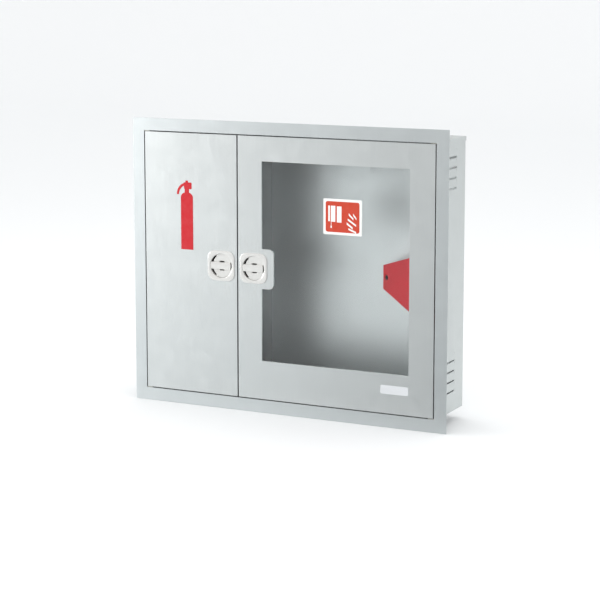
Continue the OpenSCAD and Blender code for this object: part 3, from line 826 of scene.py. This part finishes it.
def hex_nut(centre, radius, bore, y0, y1):
    """A nut along Y: a hexagon whose corners are cut by a cone at both ends. The outline
    radius is the lesser of the hexagon's and the cone's at each height."""
    angle = np.arange(48) * TAU / 48
    half = TAU / 12
    flat = radius * math.cos(half) / np.cos((angle + half) % (2 * half) - half)
    # radius and share of the height
    steps = np.array([
        (bore, 0), (bore + 0.1 * radius, 0), (radius * 0.88, 0), (radius * 0.95, 0.1),
        (radius, 0.22), (radius, 0.78), (radius * 0.95, 0.9), (radius * 0.88, 1),
        (bore + 0.1 * radius, 1), (bore, 1),
    ])
    ring = np.minimum(flat, steps[:, :1])
    return around(centre, 1, ring, angle, y0 + steps[:, 1:] * (y1 - y0)), True, True


def threaded_rod(centre, radius, y0, y1, pitch, depth, plain):
    """A rod along Y with a helical thread past its plain length: the radius drops by
    depth times a triangle wave of (length / pitch - angle / turn)."""
    turns = int(math.ceil((y1 - y0 - plain) / pitch))
    threaded = np.linspace(y0 + plain, y1, turns * 7)
    y = np.concatenate([[y0, y0, y0 + plain - 0.01 * MM], threaded, [y1]])
    angle = np.arange(16) * TAU / 16
    phase = (y[:, None] - y0) / pitch - angle / TAU
    wave = np.abs(((phase % 1.0) - 0.5) * 2)
    cut = np.clip((y - y0 - plain) / pitch, 0, 1)[:, None]
    r = radius - depth * wave * cut
    r[0], r[-1] = 0, 0
    return around(centre, 1, r, angle, y[:, None]), False, True


def stud_centres():
    """Middles of the glazing studs, from the loose solids of their CAD node."""
    mesh = frame["nodes"]["glazing_studs"].data
    co = np.empty(len(mesh.vertices) * 3)
    mesh.vertices.foreach_get("co", co)
    co = co.reshape(-1, 3)[:, [0, 2]]
    centres, left = [], co
    while len(left):
        near = np.linalg.norm(left - left[0], axis=1) < 6 * MM
        centres.append((left[near].min(0) + left[near].max(0)) / 2)
        left = left[~near]
    return [(c[0], 0.0, c[1]) for c in centres]


class GlazingOperator(bpy.types.Operator):
    """Pane, gasket, clamping bars and their threaded studs, spacers and nuts."""

    bl_idname = "fire_cabinet.glazing"
    bl_label = "Glazing"

    def execute(self, context):
        opts = context.scene.fire_cabinet_glazing
        softened("glass_pane", "glass", opts.bevel)
        softened("glass_gasket", "rubber", 0.3 * MM)
        softened("glazing_bars", "box", 0.5 * MM)
        centres = stud_centres()
        lo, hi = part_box("glazing_studs")
        stud_r, pitch, plain = 2 * MM, 0.7 * MM, 8 * MM
        outer_r, bore_r = 4 * MM, 2.05 * MM
        rods = [threaded_rod(at, stud_r, lo[1], hi[1], pitch, opts.thread, plain)
                for at in centres]
        stand_in("glazing_studs_threaded", "glazing_studs", rods, "zinc", 60)
        lo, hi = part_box("glazing_nuts")
        nuts = [hex_nut(at, outer_r, bore_r, lo[1], hi[1]) for at in centres]
        stand_in("glazing_nuts_chamfered", "glazing_nuts", nuts, "zinc", 30)
        lo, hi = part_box("glazing_spacers")
        c = 0.4 * MM
        tube = np.array([[bore_r, lo[1]], [outer_r - c, lo[1]], [outer_r, lo[1] + c],
                         [outer_r, hi[1] - c], [outer_r - c, hi[1]], [bore_r, hi[1]]])
        tubes = [(turned(tube, at, 1, 24), True, True) for at in centres]
        stand_in("glazing_spacers_turned", "glazing_spacers", tubes, "zinc", 30)
        return {"FINISHED"}


def bezel_shell(centre, size, corner, cup, cup_wall, cup_back, boss_back, proud):
    """Latch bezel: rounded squares that pass over the rim into circles down the cup,
    through the spindle bore and back up the outside, one closed profile."""
    a, r, m = size, corner, MM
    inner, bore, neck = cup - cup_wall, 5.05 * m, 9 * m
    squares = [
        (a, r, 0), (a, r, -proud * 0.45), (a - 0.35 * m, r - 0.35 * m, -proud * 0.75),
        (a - 1.0 * m, r - 1.0 * m, -proud * 0.93), (a - 2.0 * m, r - 1.6 * m, -proud),
        (a - 4.2 * m, r + 6.0 * m, -proud),
    ]
    circles = [
        (inner + 1.5 * m, -proud), (inner + 0.7 * m, -proud * 0.86),
        (inner + 0.15 * m, -proud * 0.5), (inner, 0), (inner, (cup_back - 3.0 * m) * 0.5),
        (inner, cup_back - 2.9 * m), (inner - 0.4 * m, cup_back - 2.5 * m),
        (bore, cup_back - 2.5 * m), (bore, boss_back), (neck - 0.4 * m, boss_back),
        (neck, boss_back - 0.4 * m), (neck, cup_back), (cup - 0.5 * m, cup_back),
        (cup, cup_back - 0.5 * m), (cup, 0.02 * m),
    ]
    steps = squares + [(half, half, y) for half, y in circles] + [(a - 2 * m, r - 2 * m, 0)]
    rows = [(half, half, min(curve, half), y) for half, curve, y in steps]
    return loft_y(rows, centre, 20), True, True


def smooth(low, high, value):
    """0 up to low and 1 from high, with a cubic ease between."""
    t = np.clip((value - low) / (high - low), 0, 1)
    return t * t * (3 - 2 * t)


def rotor_shell(centre, radius, half_bar, front, well, rim, back, crown):
    """Grip: a round disc whose front depth depends on the place x, z in it.
    |z| < half_bar: the bar, crowned by crown * (1 - (z / half_bar)^2), with a groove at its
    right end. Beyond it lie finger wells, rim deep. They are well deep in a crescent on the
    left, outside a circle set 0.15 radii to the right, and in a groove along the bar's
    middle. The back is flat."""
    edge = 1.2 * MM
    inside = half_bar - 1.4 * MM
    out = half_bar + (radius - half_bar) * np.sin(np.linspace(0, TAU / 4, 40))
    z = np.concatenate([-out[::-1], np.linspace(-half_bar, half_bar, 45)[1:-1], out])
    s = np.sin(np.linspace(-TAU / 4, TAU / 4, 97))
    x = np.sqrt(np.maximum(radius**2 - z**2, 0))[:, None] * s
    mag = np.abs(z)[:, None]
    bar = front - crown * (1 - (z[:, None] / half_bar) ** 2)
    end = smooth(0.90, 0.915, s)[None] * smooth(0.0, 0.2, 1 - mag / half_bar)
    bar = bar + end * (8 * MM - bar)
    u, v = x / radius, mag / radius
    crescent = smooth(0.96, 1.05, np.hypot(u - 0.15, v)) * (u < 0) * (1 - smooth(0.68, 0.86, v))
    beside = 1 - smooth(1.2 * MM, 3.0 * MM, mag - half_bar)
    beside = beside * (1 - smooth(0.08, 0.3, np.abs(u - 0.04)))
    dish = rim + (well - rim) * np.maximum(crescent, beside) + edge * (1 - v) * (1 - u**2)
    t = smooth(0, 1, (mag - inside) / edge)
    y = np.minimum(bar * (1 - t) + dish * t, back - edge)
    # the disc's rim is rounded over where it is shallow
    y = y + (np.abs(s)[None] > 0.998) * 0.3 * MM * (y < 5 * MM)
    front_face = np.stack([x, y, np.broadcast_to(z[:, None], x.shape)], -1)
    back_face = front_face[:, ::-1].copy()
    back_face[..., 1] = back
    points = np.concatenate([front_face, back_face], 1) + np.asarray(centre)
    return points, False, True


class LatchesOperator(bpy.types.Operator):
    """Both quarter-turn latches: bezel and cup, grip and spindle, ring, cam and nut."""

    bl_idname = "fire_cabinet.latches"
    bl_label = "Latches"

    def execute(self, context):
        opts = context.scene.fire_cabinet_latch
        corner, cup, cup_wall, cup_back = 22 * MM, 36 * MM, 2 * MM, 14 * MM
        half_bar, rim, grip_back = 11 * MM, 1.7 * MM, 11.2 * MM
        thick, thin = 5 * MM, 4 * MM
        for side in ("left", "right"):
            bezel, rotor, nut = (side + "_latch_" + part for part in ("bezel", "rotor", "nut"))
            lo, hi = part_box(bezel)
            centre = latch_centre(side)
            half = (hi[0] - lo[0]) / 2
            shell = bezel_shell(centre, half, corner, cup, cup_wall, cup_back,
                                hi[1] - FACE_Y, FACE_Y - lo[1])
            stand_in(bezel + "_cast", bezel, [shell], "plate", 50)
            lo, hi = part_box(rotor)
            radius = (hi[0] - lo[0]) / 2
            grip = rotor_shell(centre, radius, half_bar, lo[1] - FACE_Y + opts.crown,
                               opts.well, rim, grip_back, opts.crown)
            end = hi[1] - FACE_Y
            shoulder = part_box(side + "_latch_cam")[0][1] - FACE_Y
            start = grip_back - 0.1 * MM
            spindle = np.array([[0, start], [thick, start], [thick, shoulder - 0.3 * MM],
                                [4.7 * MM, shoulder], [thin, shoulder],
                                [thin, end - 0.5 * MM], [3.5 * MM, end], [0, end]])
            spindle = turned(spindle, centre, 1, 32), False, True
            stand_in(rotor + "_cast", rotor, [grip, spindle], "plate", 45)
            lo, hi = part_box(nut)
            hexagon = hex_nut(centre, (hi[0] - lo[0]) / 2, thin + 0.05 * MM, lo[1], hi[1])
            stand_in(nut + "_chamfered", nut, [hexagon], "zinc", 30)
            softened(side + "_latch_cam", "zinc", 0.4 * MM)
            softened(side + "_latch_ring", "zinc", 0.4 * MM)
        return {"FINISHED"}


class SignsOperator(bpy.types.Operator):
    """Printed films: extinguisher sign, hose reel sign and the plain badge."""

    bl_idname = "fire_cabinet.signs"
    bl_label = "Signs"

    def execute(self, context):
        finishes = {"extinguisher_sign": "red", "reel_sign_back": "white",
                    "reel_sign_print": "reel_red", "blank_badge": "badge"}
        # these nodes keep their CAD shape and take a finish of this file
        for node, finish in finishes.items():
            slots = frame["nodes"][node].data.materials
            slots.clear()
            slots.append(MATERIALS[finish])
        return {"FINISHED"}


def weld_bead(start, end, radius, ripple):
    """A weld bead from start to end: a half-sunk tube whose radius swells with
    |sin| of the way along, once each ripple length, and tapers to nothing at its ends."""
    start, end = np.asarray(start, float), np.asarray(end, float)
    span = np.linalg.norm(end - start)
    t = np.linspace(0, 1, int(span / ripple) * 6 + 2)
    along = (end - start) / span
    side = np.cross(along, [0.3, 0.9, 0.2])
    side /= np.linalg.norm(side)
    other = np.cross(along, side)
    swell = 0.86 + 0.14 * np.abs(np.sin(t * span / ripple * TAU / 2))
    taper = np.sqrt(np.clip(np.minimum(t, 1 - t) * span / (2 * radius), 0, 1))
    r = (radius * swell * taper)[:, None, None]
    angle = (np.arange(14) * TAU / 14)[None, :, None]
    ring = np.cos(angle) * side + np.sin(angle) * other
    points = start + (t * span)[:, None, None] * along + r * ring
    return points, False, True


class SwingArmOperator(bpy.types.Operator):
    """Hose reel swing arm with its bracket, pin, clip, boss and welds."""

    bl_idname = "fire_cabinet.swing_arm"
    bl_label = "Swing arm"

    def execute(self, context):
        opts = context.scene.fire_cabinet_arm
        softened("reel_arm", "coat", 0.8 * MM, 3)
        softened("arm_bracket", "coat", 0.8 * MM, 3)
        # the boss behind the arm is near black, as painted shade in the arm's hole
        softened("axle_boss", "boss", 0.8 * MM, 3)
        softened("arm_pin_clip", "zinc", 0.2 * MM)
        joint = next(j for j in frame["joints"] if j["name"] == "swing_arm_turn")
        x, y, _ = joint["pos_m"]
        lo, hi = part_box("reel_arm")
        # the plate leaves the barrel towards the axle boss
        boss = middle("axle_boss")
        out = np.array([boss[0] - x, boss[1] - y, 0])
        out /= np.linalg.norm(out)
        normal = np.array([-out[1], out[0], 0])
        beads = []
        for side in (-1, 1):
            at = np.array([x, y, 0]) + out * 8.2 * MM + normal * side * 3.4 * MM
            beads.append(weld_bead(at + [0, 0, lo[2] + 8 * MM], at + [0, 0, hi[2] - 8 * MM],
                                   opts.bead, 3.2 * MM))
        piece("arm_weld_beads", beads, "swing_arm", MATERIALS["coat"], (), 60)
        node = "arm_pin"
        lo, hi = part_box(node)
        r, m, low, high = 5 * MM, MM, lo[2], hi[2]
        # head, shank, groove for the clip and chamfered tail, as radius and height
        profile = np.array([[0, high], [5.2 * m, high], [6.7 * m, high - 0.4 * m],
                            [7.4 * m, high - 1.2 * m], [7.5 * m, high - 2.9 * m],
                            [7.2 * m, high - 3 * m], [r, high - 3 * m], [r, low + 2.9 * m],
                            [r - 0.5 * m, low + 2.9 * m], [r - 0.5 * m, low + 2.2 * m],
                            [r, low + 2.2 * m], [r, low + 0.8 * m], [r - 0.8 * m, low], [0, low]])
        pin = turned(profile, (x, y, 0), 2, 36), False, True
        stand_in("arm_pin_turned", node, [pin], "pin", 35)
        return {"FINISHED"}


def area_light(name, at, target, size, power):
    """A soft rectangular light at a place, turned to a target."""
    data = bpy.data.lights.new(name, "AREA")
    data.shape = "RECTANGLE"
    data.size, data.size_y = size
    data.energy = power
    ob = bpy.data.objects.new(name, data)
    bpy.context.scene.collection.objects.link(ob)
    aim = Vector(target) - Vector(at)
    ob.rotation_euler = aim.to_track_quat("-Z", "Y").to_euler()
    ob.location = at


class StageOperator(bpy.types.Operator):
    """Plain pale floor, soft studio light and the camera."""

    bl_idname = "fire_cabinet.stage"
    bl_label = "Floor, light and camera"

    def execute(self, context):
        opts = context.scene.fire_cabinet_stage
        scene = context.scene
        scene.view_settings.view_transform = "Standard"
        ground = CAD_BOX[0][2]
        # a floor that turns up into a backdrop: y as a function of the way along
        run = np.linspace(0, 1, 60)
        reach, bend, backdrop, half_width, gap = 9.0, 3.0, 7.0, 16, 0.5 * MM
        flat = np.clip(run * 3, 0, 1) * 2 * reach - reach
        turn = np.clip(run * 3 - 1, 0, 1) * TAU / 4
        rise = np.clip(run * 3 - 2, 0, 1) * backdrop
        y = flat + bend * np.sin(turn)
        z = ground - gap + bend * (1 - np.cos(turn)) + rise
        x = np.linspace(-half_width, half_width, 9)
        points = np.stack(np.broadcast_arrays(x, y[:, None], z[:, None]), -1)
        mesh = bpy.data.meshes.new("floor")
        mesh.from_pydata(points.reshape(-1, 3).tolist(), [],
                         grid_quads(len(run), len(x), False, False)[:, ::-1].tolist())
        mesh.shade_smooth()
        floor = bpy.data.objects.new("floor", mesh)
        scene.collection.objects.link(floor)
        mat, tree, shader, where = new_material("Pale floor")
        haze = noise(tree, where, 1.5, 3.0)
        amount = ramp(tree, haze, 0, 1, 0.0, 0.05)
        pale = mix(tree, amount, rgba(opts.floor), (0.88, 0.885, 0.89, 1))
        # what the sheets mirror of the floor in front of them is kept darker than what is seen
        across, along, _ = add(tree, "ShaderNodeSeparateXYZ", {0: where}).outputs
        before = ramp(tree, along, 0.1, -0.5, smooth=True)
        mirrored = add(tree, "ShaderNodeLightPath").outputs["Is Glossy Ray"]
        less = calc(tree, "MULTIPLY", before, mirrored)
        # slant of the way from the camera's mirror image to the place on the floor
        aside = calc(tree, "SUBTRACT", MIRRORED_AT[0], across)
        ahead = calc(tree, "SUBTRACT", MIRRORED_AT[1], along)
        slant = calc(tree, "DIVIDE", aside, ahead)
        bright = ramp(tree, slant, 0.36, 0.54, opts.mirror_right, opts.mirror_floor, smooth=True)
        dim = mix(tree, bright, (0, 0, 0, 1), (0.96, 1.0, 1.02, 1))
        through = add(tree, "ShaderNodeLightPath").outputs["Is Transmission Ray"]
        # towards its far edge the mirrored floor passes into the studio's brightness
        far = ramp(tree, along, -4.0, -9.0, smooth=True)
        dim = mix(tree, far, dim, (0.72, 0.72, 0.72, 1))
        lit = mix(tree, through, dim, rgba((opts.glass_floor,) * 3))
        tree.links.new(mix(tree, less, pale, lit), shader.inputs["Base Color"])
        shader.inputs["Roughness"].default_value = 0.8
        shader.inputs["Specular IOR Level"].default_value = 0.1
        mesh.materials.append(mat)
        self.studio(opts)

        area_light("Key", (-3.3, -2.0, 0.2), (-0.2, -0.1, 0.0), (1.3, 1.4), opts.key)
        area_light("Top", (0.2, 0.2, 3.4), (0, -0.1, 0), (3.0, 2.0), opts.top)
        area_light("Window", (0.9, -3.4, 2.9), (0.3, 0, 0), (1.6, 1.2), opts.front)

        data = bpy.data.cameras.new("Camera")
        data.lens = opts.lens
        data.sensor_width = 36.0
        data.shift_y = -0.1
        data.clip_end = 100
        camera = bpy.data.objects.new("Camera", data)
        scene.collection.objects.link(camera)
        camera.location = CAMERA_AT
        camera.rotation_euler = (TAU / 4 - math.radians(CAMERA_DIP), 0, math.radians(CAMERA_YAW))
        scene.camera = camera
        return {"FINISHED"}

    def studio(self, opts):
        """A white studio. What glossy surfaces mirror is dimmer towards the front: brightness
        falls from side to front with the cosine between the direction and the dim place."""
        world = bpy.data.worlds.new("Studio")
        world.use_nodes = True
        tree = world.node_tree
        ground = tree.nodes["Background"]
        toward = add(tree, "ShaderNodeTexCoord").outputs["Generated"]
        dim_place = (0.25, -0.93, -0.27)
        cosine = add(tree, "ShaderNodeVectorMath", {0: toward, 1: dim_place},
                     operation="DOT_PRODUCT").outputs["Value"]
        level = ramp(tree, cosine, 0.2, 1.0, opts.mirror_side, opts.mirror_front, smooth=True)
        path = add(tree, "ShaderNodeLightPath")
        lift = calc(tree, "MULTIPLY_ADD", path.outputs["Is Transmission Ray"], opts.through, 1.0)
        level = calc(tree, "MULTIPLY", level, lift)
        both = add(tree, "ShaderNodeMix", {0: path.outputs["Is Glossy Ray"], 2: 1.0, 3: level})
        tree.links.new(both.outputs[0], ground.inputs["Strength"])
        ground.inputs["Color"].default_value = (0.985, 0.995, 1.0, 1)
        bpy.context.scene.world = world


class FireCabinetPanel(bpy.types.Panel):
    """Lists the cabinet's operators and settings."""

    bl_idname = "VIEW3D_PT_fire_cabinet"
    bl_label = "Fire Cabinet"
    bl_space_type = "VIEW_3D"
    bl_region_type = "UI"
    bl_category = "Fire Cabinet"

    def draw(self, context):
        layout = self.layout
        for operator in OPERATORS:
            layout.operator(operator.bl_idname)
        for name, kind in SETTINGS.items():
            box = layout.box()
            box.label(text=kind.__doc__)
            for prop in kind.__annotations__:
                box.prop(getattr(context.scene, name), prop)


OPERATORS = (
    MaterialsOperator, SheetsOperator, DoorsOperator, HingesOperator, SealsOperator,
    GlazingOperator, LatchesOperator, SignsOperator, SwingArmOperator, StageOperator,
)
CLASSES = (*SETTINGS.values(), *OPERATORS, FireCabinetPanel)


def register():
    """Registers the classes and hangs the settings on the scene."""
    for kind in CLASSES:
        bpy.utils.register_class(kind)
    for name, kind in SETTINGS.items():
        setattr(bpy.types.Scene, name, PointerProperty(type=kind))


def unregister():
    """Takes the settings and classes away again."""
    for name in SETTINGS:
        delattr(bpy.types.Scene, name)
    for kind in reversed(CLASSES):
        bpy.utils.unregister_class(kind)


def main():
    register()
    for operator in OPERATORS:
        space, name = operator.bl_idname.split(".")
        getattr(getattr(bpy.ops, space), name)()


if __name__ == "__main__":
    main()
